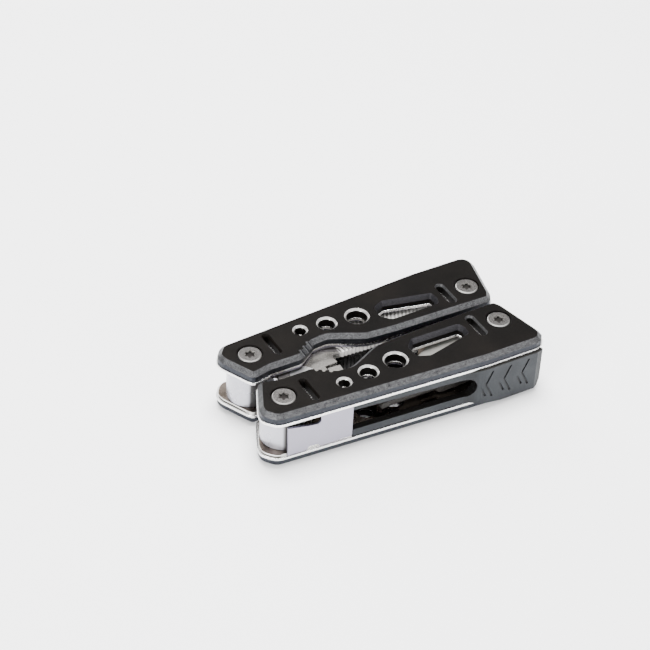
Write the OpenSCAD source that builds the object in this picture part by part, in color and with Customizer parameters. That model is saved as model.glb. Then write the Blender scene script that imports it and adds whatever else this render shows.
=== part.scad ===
// Folding pocket multi tool, lying closed on one face, millimetres.
// X runs along the tool, Y across the two handles, Z up. The rear handle is at +Y, the front at -Y.

/* [Overall] */
// total thickness over the two scales
total_h = 22.4; // [21.8:0.2:24]
// height of one handle scale
scale_h = 3.5; // [3.1:0.1:3.6]
// width and depth of the sloped edge round each scale
edge_bevel = 1.5; // [0.8:0.1:1.6]

/* [Liners] */
// thickness of each steel liner plate
liner_t = 0.9; // [0.7:0.1:1]
// how far the outer liner shows past the scale
liner_show = 0.4; // [0.2:0.05:0.45]

/* [Pivots] */
// distance from the middle to each end pivot, along the tool
pivot_x = 42; // [41.8:0.1:42.2]
// distance of the plier pivot from the centre line
plier_u = 11.75; // [11.6:0.05:11.9]
// distance of the tool pivot from the centre line
tool_u = 10.13; // [10:0.05:10.3]
// radius of the pivot pins
pin_r = 2.6; // [2.2:0.1:2.8]
// running clearance between pin and bore
fit = 0.05; // [0.02:0.01:0.1]
// radius of the screw heads
head_r = 3.95; // [3.8:0.05:4.1]

/* [Lightening holes] */
// bore radius of the small hole
hole_a = 2.0; // [1.6:0.1:2.2]
// bore radius of the middle hole
hole_b = 2.9; // [2.5:0.1:3.1]
// bore radius of the large hole
hole_c = 3.65; // [3.2:0.1:3.8]

/* [Pliers] */
// half angle between the jaws when folded
rest_open = 3.6; // [3:0.2:3.8]
// pitch of the teeth along the jaws
tooth_p = 1.45; // [1.35:0.05:1.5]
// radius of the tangs round the plier pins
tang_r = 7.7; // [7.5:0.1:8]
// radius of the plier rivet
rivet_r = 3.0; // [2.6:0.1:3.2]

/* [Tools] */
// thickness of each folding tool
tool_t = 2.1; // [1.9:0.05:2.15]
// radius of the tool tangs round their pin
tool_tang_r = 5.6; // [5.2:0.1:5.8]

/* [Lock] */
// thickness of the lock bar
bar_t = 1.7; // [1.4:0.1:1.8]
// how far the grip stands past the scale edge
grip_out = 0.7; // [0.5:0.1:0.9]

/* [Hidden] */
$fn = 48;
eps = 0.01;
z1 = scale_h;
z2 = z1 + liner_t;
z3 = z2 + liner_t;
z4 = total_h - z3;
z5 = total_h - z2;
z6 = total_h - z1;
room = z4 - z3;
gap = (room - 4 * tool_t) / 5;
jaw_z0 = z3 + 0.55;
jaw_z1 = z4 - 0.55;
jaw_zm = total_h / 2;
rivet_x = -28;
s1 = [-pivot_x, plier_u];
s2 = [pivot_x, tool_u];
lock_x = -24.5;
lock_u = 18.8;
holes = [[-21.3, 14.9, hole_a], [-11.6, 13.98, hole_b], [-0.5, 12.8, hole_c]];

// corners of the flat top face: x, distance from centre line, corner radius
face = [
  [-45.2, 3.0, 0.8], [-39, 4.35, 9], [-27.6, 4.3, 2.2], [-20.6, 9.0, 2.6],
  [-14.4, 9.7, 7], [-2.2, 3.75, 7], [8, 2.95, 20], [45.0, 2.1, 0.9],
  [46.3, 4.2, 4], [50.9, 24.1, 3.0], [28, 24.0, 30], [12, 22.946, 0], [-6, 21.76, 0],
  [-20, 20.838, 0], [-34, 19.916, 0], [-47.9, 19.0, 3.4],
  [-50.6, 15.6, 2.3], [-50.1, 13.0, 3]
];

function unit(v) = v / norm(v);
function corner_pts(p, a, b, r0, n) =
  let (u = unit(a - p), v = unit(b - p))
  let (half = acos(max(-1, min(1, u * v))) / 2)
  let (t = min(r0 / tan(half), 0.45 * norm(a - p), 0.45 * norm(b - p)))
  let (r = t * tan(half))
  let (c = p + unit(u + v) * (r / sin(half)))
  let (s = p + u * t, e = p + v * t)
  let (a0 = atan2(s[1] - c[1], s[0] - c[0]), a1 = atan2(e[1] - c[1], e[0] - c[0]))
  let (d = a1 - a0 > 180 ? a1 - a0 - 360 : a1 - a0 < -180 ? a1 - a0 + 360 : a1 - a0)
  [for (i = [0:n]) c + r * [cos(a0 + d * i / n), sin(a0 + d * i / n)]];
function rounded(q, n) = let (m = len(q)) [
  for (i = [0:m - 1])
    let (p = [q[i][0], q[i][1]], a = q[(i + m - 1) % m], b = q[(i + 1) % m])
    each (q[i][2] > 0 ? corner_pts(p, [a[0], a[1]], [b[0], b[1]], q[i][2], n) : [p])
];
// outset a counter-clockwise outline by d, keeping one point for each point
function outset(q, d) = let (m = len(q)) [
  for (i = [0:m - 1])
    let (p = q[i], a = q[(i + m - 1) % m], b = q[(i + 1) % m])
    let (e1 = unit(p - a), e2 = unit(b - p))
    let (n1 = [e1[1], -e1[0]], n2 = [e2[1], -e2[0]])
    p + (n1 + n2) * d / (1 + n1 * n2)
];
top_face = rounded(face, 3);
outline = outset(top_face, edge_bevel);
liner_out = outset(top_face, edge_bevel + liner_show);
liner_in = outset(top_face, edge_bevel - 0.3);
liner_line = [for (i = [0:len(top_face) - 1]) i > 4 && i < 31 ? liner_in[i] : liner_out[i]];
inner_line = outset(top_face, edge_bevel - 0.45);

// slope of the outer edge, and the outer edge itself as a line
edge_a = atan2(24.0 - 19.0, 28 + 47.9);
function edge_u(x) = 19.0 + edge_bevel / cos(edge_a) + (x + 47.9) * tan(edge_a);

// body of a scale: the outline, then the sloped edge up to the flat top face.
// the caps are closed with triangles between the inner and the outer edge
n_out = len(outline);
n_in = 36;
function col(i) = i == n_in - 1 ? n_out - n_in - 1
  : max(0, len([for (j = [n_in:n_out - 1]) if (outline[j][0] <= outline[i][0]) 1]) - 1);
function far(j) = n_out - 1 - j;
function first_at(j) = min([for (i = [0:n_in - 1]) if (col(i) >= j + 1) i]);
cap = concat(
  [for (i = [0:n_in - 2]) [i, i + 1, far(col(i))]],
  [for (j = [0:n_out - n_in - 2]) [first_at(j), far(j + 1), far(j)]]);
module scale_body() {
  n = n_out;
  pts = concat(
    [for (p = outline) [p[0], p[1], 0]],
    [for (p = outline) [p[0], p[1], z1 - edge_bevel]],
    [for (p = top_face) [p[0], p[1], z1]]);
  faces = concat(
    [for (t = cap) [t[0], t[1], t[2]]],
    [for (t = cap) [2 * n + t[0], 2 * n + t[2], 2 * n + t[1]]],
    [for (i = [0:n - 1]) let (j = (i + 1) % n) each [
      [i, n + i, n + j], [i, n + j, j],
      [n + i, 2 * n + i, 2 * n + j], [n + i, 2 * n + j, n + j]]]);
  polyhedron(points = pts, faces = faces, convexity = 6);
}

function slot_pts(x, u0, u1, w) = concat(
  [for (i = [0:8]) [x - w / 2 * cos(22.5 * i), u0 - w / 2 * sin(22.5 * i)]],
  [for (i = [0:8]) [x + w / 2 * cos(22.5 * i), u1 + w / 2 * sin(22.5 * i)]]);

// long window beside the tool pivot, as corners of a convex outline
win = [
  [6.4, 9.2, 2.0], [9.4, 5.9, 2.0], [28.2, 6.2, 1.5], [29.2, 9.0, 1.5],
  [28.8, 12.2, 1.4], [11.2, 16.1, 2.2], [7.0, 14.4, 2.0]
];
win_in = outset(rounded(win, 3), -0.95);
win_out = outset(rounded(win, 3), 0.1);

// opening with a sloped rim: outline a below, growing to outline b over the depth d
module rim_cut(a, b, d) {
  n = len(a);
  pts = concat(
    [for (p = a) [p[0], p[1], z1 - d]],
    [for (p = b) [p[0], p[1], z1 + 0.1]]);
  faces = concat(
    [[for (i = [0:n - 1]) i]],
    [[for (i = [0:n - 1]) 2 * n - 1 - i]],
    [for (i = [0:n - 1]) let (j = (i + 1) % n) each [[i, n + j, j], [i, n + i, n + j]]]);
  polyhedron(points = pts, faces = faces, convexity = 2);
  translate([0, 0, -1]) linear_extrude(height = z1 + 1 - d + 0.05) polygon(a);
}

slit_l = slot_pts(-33.2, 8.4, 17.2, 1.9);
slit_r = slot_pts(33.2, 5.7, 13.7, 2.6);

// one scale, flat side down on z = 0, sloped edge up
module scale_plate() {
  difference() {
    scale_body();
    rim_cut(win_in, win_out, 1.9);
    rim_cut(slit_l, outset(slit_l, 0.55), 0.9);
    rim_cut(slit_r, outset(slit_r, 0.5), 0.9);
    for (h = holes) {
      translate([h[0], h[1], -1]) cylinder(r = h[2], h = 9);
      translate([h[0], h[1], z1 - 0.65]) cylinder(r1 = h[2], r2 = h[2] + 0.65, h = 0.65 + eps);
    }
    for (s = [s1, s2]) {
      translate([s[0], s[1], -1]) cylinder(r = pin_r - 0.7, h = 9);
      translate([s[0], s[1], z1 - 1.2]) cylinder(r = head_r + 0.35, h = 3);
      translate([s[0], s[1], z1 - 0.25]) cylinder(r1 = head_r + 0.35, r2 = head_r + 0.6, h = 0.26);
    }
    // three small grooves down the slope beside the plier joint
    for (i = [0:2])
      translate([-25.8 + 2.0 * i, 4.6 + 1.35 * i, z1 - 0.75])
        rotate([0, 0, 124]) rotate([0, 45, 0]) cylinder(r = 0.62, h = 7, center = true);
  }
}

module liner_cuts(grow) {
  for (h = holes) translate([h[0], h[1]]) circle(r = h[2] + grow);
  polygon(outset(win_in, grow));
}

// outer liner: follows the scale, plus pin holes
module liner_plate() {
  linear_extrude(height = liner_t) difference() {
    polygon(liner_line);
    liner_cuts(-0.35);
    for (s = [s1, s2]) translate(s) circle(r = pin_r);
    translate([lock_x, lock_u]) circle(r = 1.1);
  }
}

// inner liner: a little smaller than the outer one, so a dark line shows between them
module inner_plate(flange = false) {
  linear_extrude(height = liner_t) difference() {
    union() {
      polygon(inner_line);
      if (flange) intersection() {
        polygon(outset(top_face, edge_bevel - 0.3));
        translate([-60, -5]) square([13.2, 40]);
      }
    }
    liner_cuts(0.5);
    for (s = [s1, s2]) translate(s) circle(r = pin_r);
    translate([lock_x, lock_u]) circle(r = 1.1);
  }
}

// turns a profile drawn as x, z into a wall along the outer edge, outer face d past the scale
module edge_wall(d, t) {
  translate([-47.9, edge_u(-47.9) + d / cos(edge_a), 0]) rotate([0, 0, edge_a])
    translate([47.9, 0, 0]) rotate([90, 0, 0]) linear_extrude(height = t) children();
}

// relief over the free tongue of the detent wall, drawn as x, z
module relief() {
  polygon([
    [-50, z5 + 1], [-50, z5 - 1.1], [-45.2, z5 - 1.3], [-38, z5 - 2.6],
    [-34.8, z5 - 2.9], [-34.8, z5 + 1]
  ]);
  translate([-34.85, z5 - 1.45]) circle(r = 1.45);
  translate([-34.85, z5 - 1.45]) square([1.45, 3]);
}

// steel detent wall folded down from the upper inner liner
module spring_wall() {
  edge_wall(liner_show + 0.05, 0.8) difference() {
    polygon([
      [-45.2, z1 + 1.4], [-38.2, z1 + 1.5], [-37.6, z1 + 2.8], [-34.4, z1 + 2.8],
      [-33.6, z1 + 1.7], [-22.8, z1 + 1.85], [-22.1, z1 + 2.15], [-21.9, z1 + 2.8],
      [-21.9, z5], [-45.2, z5]
    ]);
    relief();
  }
}

module spring_plate() {
  difference() {
    translate([0, 0, z4]) inner_plate();
    translate([0, 0, z4 - 1]) linear_extrude(height = 3)
      polygon([
        [-46.6, edge_u(-46.6) - 1.6], [-33.4, edge_u(-33.4) - 1.6],
        [-33.4, edge_u(-33.4) + 5], [-46.6, edge_u(-46.6) + 5]
      ]);
  }
  spring_wall();
  // bend that carries the wall on the plate
  translate([0, 0, z4]) linear_extrude(height = liner_t)
    polygon([
      [-33.3, edge_u(-33.3) - 1.2], [-21.9, edge_u(-21.9) - 1.2],
      [-21.9, edge_u(-21.9) + 0.3], [-33.3, edge_u(-33.3) + 0.3]
    ]);
}

// upright strip along the outer edge, between two distances from the scale outline
module edge_strip(d0, d1, x0, x1) {
  linear_extrude(height = total_h) difference() {
    polygon(outset(top_face, edge_bevel + d1));
    polygon(outset(top_face, edge_bevel + d0));
    translate([-80, -10]) square([x0 + 80, 60]);
    translate([x1, -10]) square([60, 60]);
    translate([-80, -10]) square([160, 25]);
  }
}

// cuts an upright strip to the profile drawn as x, z
module cut_to(d0, d1, x0, x1) {
  intersection() {
    edge_strip(d0, d1, x0, x1);
    translate([0, 40, 0]) rotate([90, 0, 0]) linear_extrude(height = 60) children();
  }
}

// long opening of the bar, drawn as x, z
module bar_slot() {
  polygon([[-22.2, 7.5], [20.4, 7.6], [20.4, 15.0], [-22.2, 16.1]]);
  translate([20.4, 11.3]) circle(r = 3.7);
}

// the bar swells out past the handle edge towards the grip
grip_d = 0.5 + grip_out;
function swell(x) = x < 17 ? 0.05 : x > 27 ? grip_d
  : 0.05 + (grip_d - 0.05) * (1 - cos(18 * (x - 17))) / 2;
module swell_plan(x0, x1, d0, n) {
  polygon(concat(
    [for (i = [0:n]) let (x = x0 + (x1 - x0) * i / n) [x, edge_u(x) + swell(x)]],
    [[x1, edge_u(x1) + d0], [x0, edge_u(x0) + d0]]));
}

// lower edge of the grip, drawn as x, z
module grip_profile() {
  polygon([
    [22.2, z2 + 0.12], [22.2, z5 - 0.15], [49.9, z5 - 0.15], [49.9, 5.0], [48.9, 2.4],
    [47.6, 1.8], [34, 1.8], [27, 2.9]
  ]);
}

// stepped mark of the grip with its short companion, drawn as x, z
module chevron(x, z) {
  w = 0.8;
  polygon([
    [x, z], [x + 2.4, z + 5.2], [x + 2.4 + w, z + 5.2], [x + w, z],
    [x + 2.9 + w, z - 5.9], [x + 2.9, z - 5.9]
  ]);
  translate([x, z])
    polygon([[-1.8, -1.0], [-1.8 + w, -1.0], [0.2 + w, -4.9], [0.2, -4.9]]);
}

module lock_bar() {
  difference() {
    union() {
      // deep part of the bar, behind the detent wall at its left end
      cut_to(-0.65 - bar_t, -0.65, lock_x, -21.3)
        translate([lock_x, z3 + 0.2]) square([6, room - 0.4]);
      cut_to(-0.65 - bar_t, 0.05, -21.5, 49.6)
        translate([lock_x, z3 + 0.2]) square([80, room - 0.4]);
      // thin face of the bar, in front of both inner liners
      cut_to(-0.3, 0.05, -21.5, 49.6)
        translate([lock_x, z2 + 0.15]) square([80, z5 - z2 - 0.3]);
      translate([0, 0, z2 + 0.15]) linear_extrude(height = z5 - z2 - 0.3)
        swell_plan(16, 27.2, -0.3, 9);
      cut_to(-0.3, grip_d, 27.1, 49.9)
        translate([20, z2 + 0.15]) square([40, z5 - z2 - 0.3]);
      // grip pad in front of the outer liner and the scale edge
      intersection() {
        translate([0, 0, 1]) linear_extrude(height = total_h) swell_plan(22.2, 27.2, 0.5, 4);
        translate([0, 40, 0]) rotate([90, 0, 0]) linear_extrude(height = 60) grip_profile();
      }
      cut_to(0.5, grip_d, 27.1, 49.9) grip_profile();
      // catch that rests behind the tool tangs
      translate([41.0, tool_u + tool_tang_r + 0.5, z3 + 0.3])
        cube([5.6, 24.6 - tool_u - tool_tang_r - 1.2, room - 0.6]);
      // hinge knuckle
      translate([lock_x, lock_u, z3 + 0.2]) cylinder(r = 2.0, h = room - 0.4);
    }
    translate([0, 40, 0]) rotate([90, 0, 0]) linear_extrude(height = 60) bar_slot();
    for (i = [0:2]) cut_to(grip_d - 0.35, grip_d + 2, 25, 50.4) chevron(26.9 + 7.2 * i, 11.1);
    translate([lock_x, lock_u, z1]) cylinder(r = 1.1 + fit, h = room + 4);
  }
}

module torx_head() {
  difference() {
    union() {
      cylinder(r = head_r, h = 0.75);
      translate([0, 0, 0.75]) cylinder(r1 = head_r, r2 = head_r - 0.35, h = 0.3);
    }
    translate([0, 0, 0.1]) linear_extrude(height = 2) {
      circle(r = 1.5);
      for (i = [0:5]) rotate(60 * i) translate([1.55, 0]) circle(r = 0.5);
    }
  }
  translate([0, 0, -2.85]) cylinder(r = pin_r - 0.8, h = 2.9);
}

module screws_one_side() {
  for (s = [s1, s2]) translate([s[0], s[1], total_h - 1.2]) torx_head();
}

module screws() {
  screws_one_side();
  translate([0, 0, total_h]) mirror([0, 0, 1]) screws_one_side();
}

module pin_at(s) {
  translate([s[0], s[1], z1 + 0.02]) difference() {
    cylinder(r = pin_r, h = total_h - 2 * z1 - 0.04);
    translate([0, 0, -1]) cylinder(r = pin_r - 0.75, h = 1.6);
    translate([0, 0, total_h - 2 * z1 - 0.66]) cylinder(r = pin_r - 0.75, h = 2);
  }
}

module lock_pin() {
  translate([lock_x, lock_u, z1 + 0.02]) cylinder(r = 1.1, h = total_h - 2 * z1 - 0.04);
}

module washers() {
  for (i = [0:4]) translate([s2[0], s2[1], z3 + i * (tool_t + gap) + 0.04]) difference() {
    cylinder(r = 4.2, h = gap - 0.08);
    translate([0, 0, -1]) cylinder(r = pin_r, h = 3);
  }
}

// a tool blank on level i: tang, profile and bore
module tool(i, q, n = 3) {
  translate([0, 0, z3 + gap + i * (tool_t + gap)]) difference() {
    union() {
      linear_extrude(height = tool_t) polygon(rounded(q, n));
      translate([s2[0], s2[1], 0]) cylinder(r = tool_tang_r, h = tool_t);
    }
    translate([s2[0], s2[1], -1]) cylinder(r = pin_r + fit, h = tool_t + 2);
  }
}

module side(front) {
  if (front) mirror([0, 1, 0]) children();
  else children();
}

module scale_top(front) {
  color([0.09, 0.085, 0.08]) side(front) translate([0, 0, z6]) scale_plate();
}
module scale_bottom(front) {
  color([0.09, 0.085, 0.08]) side(front) translate([0, 0, z1]) mirror([0, 0, 1]) scale_plate();
}
module front_scale_top() { scale_top(true); }
module rear_scale_top() { scale_top(false); }
module front_scale_bottom() { scale_bottom(true); }
module rear_scale_bottom() { scale_bottom(false); }

module liner(front, z) {
  color([0.8, 0.8, 0.8]) side(front) translate([0, 0, z]) liner_plate();
}
module front_liner_top() { liner(true, z5); }
module rear_liner_top() { liner(false, z5); }
module front_liner_bottom() { liner(true, z1); }
module rear_liner_bottom() { liner(false, z1); }
module front_spring_liner() { color([0.85, 0.85, 0.86]) side(true) spring_plate(); }
module rear_spring_liner() { color([0.85, 0.85, 0.86]) side(false) spring_plate(); }
module floor_liner(front) {
  color([0.75, 0.75, 0.75]) side(front) translate([0, 0, z2]) difference() {
    inner_plate(true);
    // undercut that leaves a dark line over the outer liner at the plier end
    translate([0, 0, -eps]) linear_extrude(height = 0.3 + eps) difference() {
      translate([-60, -5]) square([13.0, 40]);
      polygon(outset(top_face, edge_bevel - 1.1));
    }
  }
}
module front_floor_liner() { floor_liner(true); }
module rear_floor_liner() { floor_liner(false); }

module front_lock_bar() { color([0.3, 0.33, 0.36]) side(true) lock_bar(); }
module rear_lock_bar() { color([0.3, 0.33, 0.36]) side(false) lock_bar(); }
module front_lock_pin() { color([0.7, 0.7, 0.7]) side(true) lock_pin(); }
module rear_lock_pin() { color([0.7, 0.7, 0.7]) side(false) lock_pin(); }
module front_plier_pin() { color([0.7, 0.7, 0.7]) side(true) pin_at(s1); }
module rear_plier_pin() { color([0.7, 0.7, 0.7]) side(false) pin_at(s1); }
module front_tool_pin() { color([0.7, 0.7, 0.7]) side(true) pin_at(s2); }
module rear_tool_pin() { color([0.7, 0.7, 0.7]) side(false) pin_at(s2); }
module front_screws() { color([0.75, 0.74, 0.72]) side(true) screws(); }
module rear_screws() { color([0.75, 0.74, 0.72]) side(false) screws(); }
module front_tool_washers() { color([0.6, 0.6, 0.6]) side(true) washers(); }
module rear_tool_washers() { color([0.6, 0.6, 0.6]) side(false) washers(); }

// knife: edge towards the lock bar, ground on both faces
module knife_blade() {
  color([0.78, 0.79, 0.8]) side(true) difference() {
    tool(3, [
      [46.4, 7.0, 0], [40, 4.6, 2], [28, 4.4, 6], [18, 5.0, 5], [7, 10.8, 8], [-4, 13.0, 10],
      [-12.6, 14.6, 0.4], [-7, 18.0, 6], [2, 19.9, 6], [23.0, 19.9, 0.5],
      [24.5, 18.2, 1], [31, 17.4, 3], [40, 15.6, 0], [46.4, 12, 0]
    ]);
    for (m = [0, 1]) translate([23.2, 15.2, z3 + gap + 3 * (tool_t + gap) + m * tool_t])
      mirror([0, 0, m]) rotate([-8, 0, 0]) translate([-40, 0, -3]) cube([40, 9, 3]);
  }
}

module can_opener() {
  color([0.7, 0.71, 0.72]) side(true) tool(2, [
    [46.4, 7.0, 0], [40, 4.6, 2], [30, 7.4, 6], [16, 11.6, 4], [7.0, 12.6, 1],
    [3.4, 14.6, 0.3], [7.4, 15.4, 1.2], [8.8, 17.2, 1.0], [7.0, 19.4, 0.4],
    [14, 20.2, 3], [30, 18.0, 6], [40, 15.6, 0], [46.4, 12, 0]
  ]);
}

module flat_screwdriver() {
  color([0.7, 0.71, 0.72]) side(true) tool(1, [
    [46.4, 7.0, 0], [40, 4.6, 2], [30, 7.6, 6], [18, 12.0, 4], [-1, 12.9, 0.8],
    [-8.6, 13.2, 0.2], [-8.6, 19.0, 0.2], [-1, 18.6, 2], [10, 18.4, 5],
    [30, 17.6, 6], [40, 15.6, 0], [46.4, 12, 0]
  ]);
}

module cross_screwdriver() {
  color([0.7, 0.71, 0.72]) side(true) {
    tool(0, [
      [46.4, 7.0, 0], [40, 4.6, 2], [31, 8.0, 5], [19, 12.6, 3], [14, 13.6, 2],
      [14, 18.0, 2], [22, 18.0, 3], [32, 17.2, 5], [40, 15.6, 0], [46.4, 12, 0]
    ]);
    translate([15, 15.8, z3 + gap + tool_t / 2]) rotate([0, -90, 0]) difference() {
      union() {
        cylinder(r = tool_t / 2, h = 15);
        translate([0, 0, 15]) cylinder(r1 = tool_t / 2, r2 = 0.25, h = 2.4);
      }
      for (a = [45, 135]) rotate([0, 0, a]) translate([-2, -0.16, 13.4]) cube([4, 0.32, 6]);
    }
  }
}

// file: toothed face up, cut as shallow slanted grooves
module file_blade() {
  color([0.74, 0.75, 0.76]) side(false) difference() {
    tool(3, [
      [46.4, 7.0, 0], [40, 4.6, 2], [31, 7.0, 5], [15.6, 11.4, 4], [-4, 13.0, 2],
      [-12.0, 13.6, 1.4], [-12.4, 19.0, 1.4], [-2, 19.8, 4], [28, 20.0, 4],
      [34, 17.0, 3], [40, 15.6, 0], [46.4, 12, 0]
    ]);
    for (i = [0:23]) translate([-9 + 1.5 * i, 15.8, z3 + gap + 3 * (tool_t + gap) + tool_t])
      rotate([0, 0, 62]) rotate([45, 0, 0]) cube([12, 0.5, 0.5], center = true);
  }
}

module bottle_opener() {
  color([0.7, 0.71, 0.72]) side(false) tool(2, [
    [46.4, 7.0, 0], [40, 4.6, 2], [30, 7.4, 6], [16, 11.8, 4], [2.6, 13.0, 0.8],
    [2.6, 15.2, 0.5], [7.4, 14.9, 1.3], [10.6, 16.6, 1.3], [6.4, 17.6, 0.8],
    [3.6, 19.4, 0.8], [16, 20.4, 4], [32, 17.8, 5], [40, 15.6, 0], [46.4, 12, 0]
  ]);
}

module small_screwdriver() {
  color([0.7, 0.71, 0.72]) side(false) tool(1, [
    [46.4, 7.0, 0], [40, 4.6, 2], [30, 7.6, 6], [19, 12.2, 4], [2, 14.2, 2],
    [-7.0, 14.4, 0.2], [-7.0, 17.6, 0.2], [2, 17.6, 3], [14, 18.4, 5],
    [30, 17.6, 6], [40, 15.6, 0], [46.4, 12, 0]
  ]);
}

module awl() {
  color([0.7, 0.71, 0.72]) side(false) tool(0, [
    [46.4, 7.0, 0], [40, 4.6, 2], [30, 7.8, 6], [20, 12.4, 5], [4, 15.0, 8],
    [-8.0, 17.2, 0.2], [4, 18.2, 8], [18, 19.0, 6], [32, 17.4, 5],
    [40, 15.6, 0], [46.4, 12, 0]
  ]);
}

// gripping edge of a jaw: distance from the rivet, distance from the closing line
function grip_y(x) = 4.1 - 0.1123 * (x - 8.6);
grip_edge = concat(
  [[8.6, 0.05], [13.4, 0.05], [13.4, 2.6]],
  [for (i = [0:17]) let (x = 14.2 + tooth_p * i)
    each [[x, grip_y(x) + 0.5], [x + 0.6 * tooth_p, grip_y(x)]]],
  [[41.8, 0.35]]
);
jaw_back = [
  [42.0, 1.9], [41.0, 2.5], [34, 3.0], [27.4, 3.7], [24, 5.3], [20.6, 7.4], [17, 8.5], [12, 8.8],
  [8.4, 7.6]
];
// nose seen from above, y positive away from the closing line
module nose_plan() {
  polygon(concat([[-1, 0.05]], [for (p = grip_edge) p], jaw_back, [[-1, 7.6]]));
}

// nose seen from the side: full height at the rivet, thinner to the tip
module nose_side() {
  rotate([90, 0, 0]) linear_extrude(height = 40, center = true)
    polygon([
      [-3, jaw_z0], [31, jaw_z0], [43, jaw_z0 + 2.2], [43, jaw_z1 - 1.5], [31, jaw_z1], [-3, jaw_z1]
    ]);
}

// arm from the rivet boss to the tang, drawn for a tang at +Y
module arm_plan() {
  polygon(rounded([
    [-37.4, plier_u + 6.2, 2], [-46.0, plier_u - 6.4, 2.5], [-39.6, 4.2, 1], [-37.4, 3.2, 0.5],
    [-35.1, 0.6, 1.5], [-34, -5.0, 1], [-24, -3.5, 3], [-23, 3.2, 3], [-28, 8.6, 3]
  ], 4));
}

// half = 0: nose at +Y over the joint, tang at -Y; half = 1: the other way round
module jaw(half) {
  s = half == 0 ? 1 : -1;
  lap0 = half == 0 ? jaw_zm + 0.04 : jaw_z0;
  lap1 = half == 0 ? jaw_z1 : jaw_zm - 0.04;
  difference() {
    union() {
      // nose, beyond the round joint
      difference() {
        intersection() {
          translate([rivet_x, 0, 0]) rotate([0, 0, s * rest_open])
            linear_extrude(height = total_h) scale([1, s]) nose_plan();
          translate([rivet_x, 0, 0]) rotate([0, 0, s * rest_open]) nose_side();
        }
        translate([rivet_x, 0, half == 0 ? 0 : jaw_zm - 0.04])
          cylinder(r = 8.9, h = half == 0 ? jaw_zm + 0.04 : total_h);
      }
      // half-height disc of the lap joint
      translate([rivet_x, 0, lap0]) cylinder(r = 8.5, h = lap1 - lap0);
      // arm and tang
      difference() {
        union() {
          translate([0, 0, jaw_z0]) linear_extrude(height = jaw_z1 - jaw_z0)
            scale([1, -s]) arm_plan();
          translate([-pivot_x, -s * plier_u, z3 + 0.2]) cylinder(r = tang_r, h = room - 0.4);
        }
        // clear the other half's disc and nose
        translate([rivet_x, 0, half == 0 ? 0 : jaw_zm - 0.04])
          cylinder(r = 8.9, h = half == 0 ? jaw_zm + 0.04 : total_h);
      }
    }
    translate([-pivot_x, -s * plier_u, 0]) cylinder(r = pin_r + fit, h = total_h);
    translate([rivet_x, 0, 0]) cylinder(r = half == 0 ? rivet_r : rivet_r + fit, h = total_h);
    if (half == 1) translate([rivet_x, 0, 0]) cylinder(r = 4.6, h = jaw_z0 + 1.1);
    if (half == 0) translate([rivet_x, 0, jaw_z1 - 1.0]) cylinder(r = 4.5, h = 5);
    // gripping grooves on top of the nose, square to the closing line
    if (half == 0) translate([rivet_x, 0, 0]) rotate([0, 0, rest_open])
      for (i = [0:15]) let (x = 17.4 + tooth_p * i)
        translate([x, grip_y(x) + 1.9, jaw_z1 - max(0, x - 31) * 0.125])
          rotate([0, 0, 7]) cube([0.7, 2.8, 1.0], center = true);
  }
}
module rear_jaw() { color([0.72, 0.71, 0.69]) jaw(0); }
module front_jaw() { color([0.72, 0.71, 0.69]) jaw(1); }
module plier_rivet() {
  color([0.66, 0.66, 0.66]) {
    translate([rivet_x, 0, jaw_z0]) cylinder(r = rivet_r, h = jaw_z1 - jaw_z0);
    translate([rivet_x, 0, jaw_z0]) cylinder(r = 4.5, h = 1.0);
    translate([rivet_x, 0, jaw_z1 - 1.0]) cylinder(r = 4.5, h = 1.0);
  }
}

front_scale_top();
front_scale_bottom();
rear_scale_top();
rear_scale_bottom();
front_liner_top();
front_liner_bottom();
rear_liner_top();
rear_liner_bottom();
front_spring_liner();
rear_spring_liner();
front_floor_liner();
rear_floor_liner();
front_lock_bar();
rear_lock_bar();
front_lock_pin();
rear_lock_pin();
front_plier_pin();
rear_plier_pin();
front_tool_pin();
rear_tool_pin();
front_screws();
rear_screws();
front_tool_washers();
rear_tool_washers();
knife_blade();
can_opener();
flat_screwdriver();
cross_screwdriver();
file_blade();
bottle_opener();
small_screwdriver();
awl();
rear_jaw();
front_jaw();
plier_rivet();
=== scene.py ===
"""Looks, stage, camera and light of the folding multi tool."""
import math

import bpy
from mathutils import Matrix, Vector

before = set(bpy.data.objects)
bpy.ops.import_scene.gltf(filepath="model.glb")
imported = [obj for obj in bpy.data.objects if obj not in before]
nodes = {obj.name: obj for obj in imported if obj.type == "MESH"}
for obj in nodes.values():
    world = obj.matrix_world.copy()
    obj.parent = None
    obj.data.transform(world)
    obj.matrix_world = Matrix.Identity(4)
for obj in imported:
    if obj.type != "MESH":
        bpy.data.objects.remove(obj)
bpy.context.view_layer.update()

MM = 0.001
X, Y, Z = 0, 1, 2
FRONT, REAR = -1, 1
BOTH = (FRONT, REAR)

# in mm: lightening holes as x, distance from the centre line, radius; pivots as x, distance
HOLES = [(-21.3, 14.9, 2.0), (-11.6, 13.98, 2.9), (-0.5, 12.8, 3.65)]
PIVOTS = [(-42.0, 11.75), (42.0, 10.13)]
# circles that together cover the screw seats, the two slits and the window of a scale
SEATS = [(x, y, 5.0) for x, y in PIVOTS]
LEFT_SLIT = [(-33.2, y, 2.2) for y in (8.2, 11.2, 14.2, 17.4)]
RIGHT_SLIT = [(33.2, y, 2.0) for y in (5.4, 7.5, 9.7, 11.9, 14.0)]
WINDOW = [(11.0, 10.6, 6.2), (16.5, 10.2, 6.4), (23.5, 9.2, 6.2)]
SCALE_RIM = 0.85
LINER_RIM = 1.0
HEAD_FACE = 3.62

# how far a face looks up or down, from upright (0) to level (1)
SLOPING = (0.35, 0.5)
NEAR_LEVEL = (0.9, 0.97)


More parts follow.
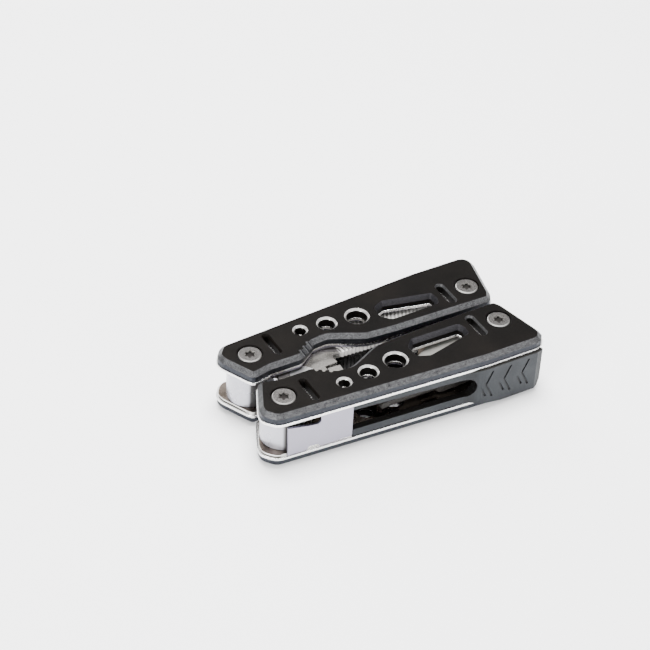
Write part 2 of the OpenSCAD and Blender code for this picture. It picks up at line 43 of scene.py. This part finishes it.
# ---------------------------------------------------------------- shader helpers
class Mat:
    """A material built from nodes; uniform numbers go straight on the shader's sockets."""

    def __init__(self, name, color, metallic, rough):
        self.material = bpy.data.materials.new(name)
        self.material.use_nodes = True
        self.tree = self.material.node_tree
        self.shader = self.tree.nodes["Principled BSDF"]
        self.shader.inputs["Base Color"].default_value = (*color, 1)
        self.shader.inputs["Metallic"].default_value = metallic
        self.shader.inputs["Roughness"].default_value = rough
        self.coord = self.node("TexCoord", {}).outputs["Object"]

    def put(self, socket, value):
        """Links a value from another node, or sets a plain one."""
        if isinstance(value, bpy.types.NodeSocket):
            self.tree.links.new(value, socket)
        else:
            socket.default_value = value

    def node(self, kind, inputs):
        n = self.tree.nodes.new("ShaderNode" + kind)
        for key, value in inputs.items():
            self.put(n.inputs[key], value)
        return n

    def noise(self, scale, detail=3, stretch=None, rough=0.55):
        src = self.coord
        if stretch:
            src = self.node("Mapping", {"Vector": src, "Scale": stretch}).outputs["Vector"]
        n = self.node("TexNoise", {"Vector": src, "Scale": scale, "Detail": detail,
                                   "Roughness": rough})
        return n.outputs["Fac"]

    def ramp(self, src, lo, hi, a=0.0, b=1.0):
        """Goes from a to b while src goes from lo to hi, and stays level beyond."""
        n = self.node("MapRange", {"Value": src, "From Min": lo, "From Max": hi,
                                   "To Min": a, "To Max": b})
        return n.outputs["Result"]

    def fade(self, src, lo, hi):
        return self.ramp(src, lo, hi, 1.0, 0.0)

    def math(self, op, a, b=None):
        n = self.tree.nodes.new("ShaderNodeMath")
        n.operation = op
        for i, value in enumerate((a, b)):
            if value is not None:
                self.put(n.inputs[i], value)
        return n.outputs[0]

    def times(self, a, b):
        return self.math("MULTIPLY", a, b)

    def most(self, first, *others):
        for other in others:
            first = self.math("MAXIMUM", first, other)
        return first

    def mix(self, fac, a, b):
        """Colour a where fac is 0, colour b where it is 1."""
        n = self.tree.nodes.new("ShaderNodeMix")
        n.data_type = "RGBA"
        for i, value in ((0, fac), (6, a), (7, b)):
            self.put(n.inputs[i], (*value, 1) if isinstance(value, tuple) else value)
        return n.outputs[2]

    def color(self, src):
        self.put(self.shader.inputs["Base Color"], src)

    def rough(self, src):
        self.put(self.shader.inputs["Roughness"], src)

    def metal(self, src):
        self.put(self.shader.inputs["Metallic"], src)

    def bump(self, src, strength, dist):
        n = self.node("Bump", {"Height": src, "Strength": strength, "Distance": dist})
        self.put(self.shader.inputs["Normal"], n.outputs["Normal"])

    def axis(self, vector, index):
        return self.node("SeparateXYZ", {"Vector": vector}).outputs[index]

    def place(self, index):
        """Where a point lies along one axis, in metres."""
        return self.axis(self.coord, index)

    def facing(self, output, index):
        """One component of a normal in the object's own axes."""
        geometry = self.tree.nodes.new("ShaderNodeNewGeometry")
        turn = self.node("VectorTransform", {"Vector": geometry.outputs[output]})
        turn.vector_type = "NORMAL"
        turn.convert_from = "WORLD"
        turn.convert_to = "OBJECT"
        return self.axis(turn.outputs["Vector"], index)

    def level(self):
        """0 on upright faces and 1 on level ones, from the shape before smoothing."""
        return self.math("ABSOLUTE", self.facing("True Normal", Z))

    def along(self):
        """How far the smoothed surface faces along the tool, from -1 to 1."""
        return self.facing("Normal", X)

    def near(self, circles, sides, soft=0.04):
        """1 inside upright round columns given in mm as x, distance and radius."""
        x, y = self.place(X), self.place(Y)
        hits = []
        for side in sides:
            for cx, cy, r in circles:
                dx = self.math("SUBTRACT", x, cx * MM)
                dy = self.math("SUBTRACT", y, side * cy * MM)
                square = self.math("ADD", self.times(dx, dx), self.times(dy, dy))
                dist = self.math("SQRT", square)
                hits.append(self.fade(dist, (r - soft) * MM, (r + soft) * MM))
        return self.most(*hits)

    def rims(self, wider, sides):
        """1 in and round the lightening holes."""
        return self.near([(x, y, r + wider) for x, y, r in HOLES], sides)


# ---------------------------------------------------------------- materials
def anodised(name, side):
    """Black top, speckled grey slope, darker edge, and bright rims round the holes."""
    m = Mat(name, (0.018, 0.0165, 0.0155), 0.6, 0.4)
    grain = m.noise(4200, 3)
    cloud = m.noise(60, 4)
    scuff = m.noise(700, 4, (1, 1, 1), 0.7)
    level = m.level()
    sloping = m.times(m.ramp(level, *SLOPING), m.fade(level, *NEAR_LEVEL))
    upright = m.fade(level, 0.2, 0.4)
    black = m.near(SEATS + LEFT_SLIT, (side,))
    window = m.near(WINDOW, (side,))
    slit = m.near(RIGHT_SLIT, (side,))
    around = m.rims(SCALE_RIM, (side,))
    slope = m.times(sloping, m.math("SUBTRACT", 1.0, black))
    rim = m.times(sloping, around)
    outer = m.times(upright, m.math("SUBTRACT", 1.0, m.most(black, slit, window, around)))

    fleck = m.ramp(m.math("ADD", m.times(grain, 0.7), m.times(scuff, 0.3)), 0.36, 0.62)
    top = m.mix(m.ramp(cloud, 0.35, 0.7), (0.0016, 0.0013, 0.0011), (0.0040, 0.0032, 0.0026))
    top = m.mix(m.ramp(grain, 0.62, 0.8), top, (0.022, 0.020, 0.018))
    edge = m.mix(fleck, (0.013, 0.0132, 0.014), (0.125, 0.126, 0.129))
    gloss = m.mix(m.ramp(grain, 0.4, 0.7), (0.020, 0.0195, 0.0215), (0.052, 0.051, 0.056))
    wall = m.mix(fleck, (0.016, 0.017, 0.021), (0.040, 0.043, 0.050))
    color = m.mix(slope, top, m.mix(window, edge, gloss))
    color = m.mix(outer, color, wall)
    m.color(m.mix(rim, color, (0.62, 0.61, 0.59)))
    m.metal(m.ramp(m.most(slope, rim, outer), 0, 1, 0.0, 0.9))
    m.rough(m.math("SUBTRACT", m.ramp(grain, 0.3, 0.7, 0.38, 0.52), m.times(rim, 0.2)))
    m.shader.inputs["Specular IOR Level"].default_value = 0.04
    m.bump(grain, 0.35, 0.06 * MM)
    return m.material


def steel(name, color, rough, stretch=(1, 1, 1), scale=3000, spread=0.08, dark=0.86):
    """Plain brushed steel."""
    m = Mat(name, color, 1.0, rough)
    lines = m.noise(scale, 3, stretch)
    cloud = m.noise(90, 3)
    m.color(m.mix(m.ramp(lines, 0.35, 0.7), tuple(c * dark for c in color), color))
    m.rough(m.math("ADD", m.ramp(lines, 0.3, 0.7, rough - spread, rough + spread),
                   m.ramp(cloud, 0.35, 0.7, -0.03, 0.05)))
    m.bump(lines, 0.02, 0.02 * MM)
    return m.material


def liner_steel(name):
    """Bright cut edges, with the hole rims darker, and painted shade that makes the rims nearly
    black in the lower liners.
    """
    m = Mat(name, (0.8, 0.795, 0.785), 1.0, 0.25)
    lines = m.noise(2000, 3)
    color = m.mix(m.ramp(lines, 0.35, 0.7), (0.74, 0.735, 0.725), (0.82, 0.815, 0.805))
    # painted shade: the hole rims of the lower liners, deep in the tool, turn nearly black
    low = m.fade(m.place(Z), 8 * MM, 9 * MM)
    rim = m.mix(low, (0.30, 0.295, 0.285), (0.02, 0.019, 0.018))
    m.color(m.mix(m.rims(LINER_RIM, BOTH), color, rim))
    m.rough(m.ramp(lines, 0.3, 0.7, 0.2, 0.3))
    return m.material


def floor_steel(name):
    """Bright on the cut edges, mottled dark brown on the broad faces, and painted shade that
    makes the edges round the holes nearly black.
    """
    m = Mat(name, (0.5, 0.48, 0.45), 1.0, 0.26)
    cloud = m.noise(160, 4)
    dark_brown = m.mix(m.ramp(cloud, 0.35, 0.65), (0.075, 0.060, 0.048), (0.19, 0.16, 0.135))
    # painted shade: the cut edges round the holes, deep in the tool, are nearly black
    edge = m.mix(m.rims(LINER_RIM, BOTH), (0.80, 0.79, 0.76), (0.03, 0.028, 0.026))
    m.color(m.mix(m.ramp(m.level(), 0.9, 0.99), edge, dark_brown))
    m.rough(m.ramp(cloud, 0.3, 0.7, 0.2, 0.36))
    return m.material


def jaw_steel(name):
    m = Mat(name, (0.55, 0.53, 0.50), 1.0, 0.28)
    lines = m.noise(1800, 3)
    cloud = m.noise(120, 3)
    x, z, level = m.place(X), m.place(Z), m.level()
    color = m.mix(m.ramp(lines, 0.35, 0.7), (0.21, 0.20, 0.185), (0.30, 0.285, 0.265))
    # the round tangs are polished; painted shade darkens the faces of each tang that turn
    # towards negative x
    tang = m.fade(x, -37.2 * MM, -36.6 * MM)
    tang_shade = m.ramp(m.along(), -0.50, -0.40)
    color = m.mix(tang, color, m.mix(tang_shade, (0.40, 0.40, 0.44), (0.06, 0.058, 0.058)))
    # painted highlight makes the toothed part of the nose bright; on the nose's upright faces a
    # painted highlight lights the top and painted shade darkens them low down
    teeth_highlight = m.ramp(x, -12.0 * MM, -10.5 * MM)
    color = m.mix(teeth_highlight, color, (0.92, 0.90, 0.86))
    nose = m.ramp(x, -18.0 * MM, -17.2 * MM)
    upright = m.fade(level, 0.3, 0.5)
    low = m.fade(z, 14.3 * MM, 14.7 * MM)
    # painted highlight above, painted shade below
    side = m.mix(low, (0.85, 0.83, 0.80), (0.006, 0.0055, 0.005))
    color = m.mix(m.times(nose, upright), color, side)
    # painted shade in the bottoms of the gripping grooves, which follow the fall of the nose
    # towards its tip
    fall = m.times(m.most(m.math("SUBTRACT", x, 3 * MM), 0.0), 0.125)
    sunk_shade = m.fade(m.math("ADD", z, fall), 16.22 * MM, 16.4 * MM)
    groove_shade = m.times(sunk_shade, m.ramp(level, 0.7, 0.9))
    color = m.mix(m.times(nose, groove_shade), color, (0.008, 0.0075, 0.007))
    m.color(color)
    m.metal(m.math("SUBTRACT", m.ramp(tang, 0, 1, 0.9, 0.6), m.times(teeth_highlight, 0.75)))
    m.rough(m.ramp(cloud, 0.3, 0.7, 0.2, 0.32))
    m.bump(lines, 0.02, 0.02 * MM)
    return m.material


def tool_steel(name, low, high):
    """Broad faces between two tones on the topmost tools; painted shade makes the broad faces
    of the lower tools and all side faces dark.
    """
    m = Mat(name, (0.8, 0.79, 0.77), 0.3, 0.3)
    lines = m.noise(900, 3, (1, 14, 1))
    broad = m.mix(m.ramp(lines, 0.35, 0.7), low, high)
    lit_topmost = m.ramp(m.place(Z), 14.0 * MM, 14.6 * MM)
    # painted shade on the broad faces of the lower tools, deep in the handle
    broad = m.mix(lit_topmost, (0.05, 0.047, 0.043), broad)
    # painted shade on all side faces
    m.color(m.mix(m.ramp(m.level(), 0.55, 0.8), (0.045, 0.043, 0.04), broad))
    m.rough(m.ramp(lines, 0.3, 0.7, 0.26, 0.38))
    m.bump(lines, 0.03, 0.02 * MM)
    return m.material


def gunmetal(name):
    m = Mat(name, (0.085, 0.095, 0.108), 0.7, 0.42)
    grain = m.noise(6000, 2)
    cloud = m.noise(110, 4)
    x = m.place(X)
    color = m.mix(m.ramp(cloud, 0.35, 0.7), (0.0125, 0.0145, 0.0170), (0.020, 0.0228, 0.0260))
    color = m.mix(m.ramp(grain, 0.6, 0.8), color, (0.045, 0.048, 0.053))
    # painted shade on the floors of the grip's steps, just under its outer face
    out = m.math("ABSOLUTE", m.place(Y))
    step_shade = m.times(m.fade(out, 26.52 * MM, 26.62 * MM), m.ramp(out, 26.1 * MM, 26.2 * MM))
    step_shade = m.times(step_shade, m.ramp(x, 26.3 * MM, 26.5 * MM))
    color = m.mix(step_shade, color, (0.010, 0.011, 0.012))
    # painted shade at the round end of the long opening
    end_shade = m.times(m.ramp(x, 17.0 * MM, 18.0 * MM), m.fade(x, 24.3 * MM, 24.5 * MM))
    end_shade = m.times(end_shade, m.fade(m.along(), -0.35, -0.15))
    color = m.mix(end_shade, color, (0.006, 0.006, 0.006))
    # painted shade makes the level faces, which are the long sides of the opening, nearly black
    m.color(m.mix(m.ramp(m.level(), 0.75, 0.95), color, (0.010, 0.009, 0.008)))
    m.rough(m.ramp(grain, 0.3, 0.7, 0.4, 0.54))
    m.bump(grain, 0.2, 0.05 * MM)
    return m.material


def screw_steel(name):
    """Mottled heads with a bright ring and chamfer, and painted shade in the six-lobe recess.
    """
    m = Mat(name, (0.40, 0.39, 0.375), 1.0, 0.38)
    mottle = m.noise(2200, 4, None, 0.7)
    color = m.mix(m.ramp(mottle, 0.4, 0.62), (0.046, 0.043, 0.041), (0.125, 0.12, 0.115))
    face = m.near([(x, y, HEAD_FACE) for x, y in PIVOTS], BOTH)
    color = m.mix(face, (0.40, 0.39, 0.375), color)
    color = m.mix(m.fade(m.level(), 0.8, 0.97), color, (0.45, 0.44, 0.42))
    # distance from the middle of the tool's thickness, the same for both faces
    height = m.math("ABSOLUTE", m.math("SUBTRACT", m.place(Z), 11.2 * MM))
    # painted shade in the six-lobe recess
    sunk_shade = m.fade(height, 10.15 * MM, 10.7 * MM)
    m.color(m.mix(sunk_shade, color, (0.022, 0.020, 0.019)))
    m.rough(m.ramp(mottle, 0.3, 0.7, 0.28, 0.5))
    m.bump(mottle, 0.5, 0.06 * MM)
    return m.material


# each kind of piece: a part of its node's name, its material, the width of its edges in mm;
# the first that matches counts
KINDS = [
    ("front_scale", anodised("anodised_front", FRONT), 0.22),
    ("rear_scale", anodised("anodised_rear", REAR), 0.22),
    ("spring_liner", steel("wall_steel", (0.27, 0.26, 0.31), 0.36, (1, 1, 6), 1200, 0.05, 0.93),
     0.18),
    ("floor_liner", floor_steel("floor_liner_steel"), 0.16),
    ("liner", liner_steel("liner_steel"), 0.12),
    ("lock_bar", gunmetal("gunmetal"), 0.16),
    ("screws", screw_steel("screw_steel"), 0.1),
    ("jaw", jaw_steel("jaw_steel"), 0.14),
    # the knife takes darker tones of the tool steel: painted shade on the knife
    ("knife", tool_steel("shaded_knife_steel", (0.155, 0.15, 0.137), (0.25, 0.243, 0.225)), 0.12),
]
PIN_STEEL = steel("pin_steel", (0.5, 0.5, 0.49), 0.35)
KINDS += [(part, PIN_STEEL, 0.1) for part in ("pin", "washer", "rivet")]
# the other folding tools
KINDS += [("", tool_steel("tool_steel", (0.40, 0.39, 0.375), (0.56, 0.55, 0.53)), 0.12)]

for name, piece in nodes.items():
    material, edge_width = next((mat, width) for part, mat, width in KINDS if part in name)
    piece.data.materials.clear()
    piece.data.materials.append(material)
    weld = piece.modifiers.new("weld", "WELD")
    weld.merge_threshold = 0.002 * MM
    bevel = piece.modifiers.new("edges", "BEVEL")
    bevel.width = edge_width * MM
    bevel.segments = 2
    bevel.limit_method = "ANGLE"
    bevel.angle_limit = math.radians(32)
    bevel.use_clamp_overlap = True
    bevel.harden_normals = False
    shade = piece.modifiers.new("shade", "WEIGHTED_NORMAL")
    shade.keep_sharp = True
    shade.weight = 80

# ---------------------------------------------------------------- stage and camera
bpy.ops.mesh.primitive_plane_add(size=6, location=(0, 0, -0.05 * MM))
floor = bpy.context.object
floor.name = "floor"
paper = Mat("paper", (0.97, 0.97, 0.97), 0.0, 0.8)
paper.color(paper.mix(paper.noise(8, 2), (0.965, 0.965, 0.965), (0.975, 0.975, 0.975)))
floor.data.materials.append(paper.material)

cam_data = bpy.data.cameras.new("camera")
cam = bpy.data.objects.new("camera", cam_data)
bpy.context.collection.objects.link(cam)
cam.location = (-0.28379, -0.43443, 0.45168)
cam.rotation_euler = [math.radians(a) for a in (50.621, -2.188, -29.407)]
cam_data.lens = 111.35
cam_data.sensor_width = 36
cam_data.clip_start = 0.01
bpy.context.scene.camera = cam


# ---------------------------------------------------------------- light
def area(name, loc, target, size, power):
    data = bpy.data.lights.new(name, "AREA")
    data.energy = power
    data.size = size
    light = bpy.data.objects.new(name, data)
    bpy.context.collection.objects.link(light)
    light.location = loc
    light.rotation_mode = "QUATERNION"
    light.rotation_quaternion = (Vector(target) - Vector(loc)).to_track_quat("-Z", "Y")


area("top_soft", (0.05, 0.15, 0.9), (0, 0, 0), 0.5, 26)
area("front_left", (-0.75, -0.35, 0.35), (0, 0, 0.01), 0.3, 8.5)
area("front_right", (0.35, -0.9, 0.25), (0, 0, 0.01), 0.4, 6.5)
area("back", (0.0, 0.9, 0.45), (0, 0, 0.01), 0.5, 6.5)

# pale studio with darker bands, so that the steel parts show some contrast
world = bpy.data.worlds.new("world")
bpy.context.scene.world = world
world.use_nodes = True
tree = world.node_tree
background = tree.nodes["Background"]
background.inputs["Strength"].default_value = 1.8
coords = tree.nodes.new("ShaderNodeTexCoord")
split = tree.nodes.new("ShaderNodeSeparateXYZ")
tree.links.new(coords.outputs["Generated"], split.inputs["Vector"])
bands = tree.nodes.new("ShaderNodeValToRGB")
tree.links.new(split.outputs["Z"], bands.inputs["Fac"])
stops = bands.color_ramp.elements
stops[0].position = 0.0
stops[0].color = (1.0, 1.0, 1.0, 1)
stops[1].position = 1.0
stops[1].color = (0.9, 0.9, 0.9, 1)
for position, value in ((0.12, 1.0), (0.3, 0.35), (0.5, 0.3), (0.62, 1.25), (0.8, 0.7)):
    stop = stops.new(position)
    stop.color = (value, value, value * 1.02, 1)
tree.links.new(bands.outputs["Color"], background.inputs["Color"])
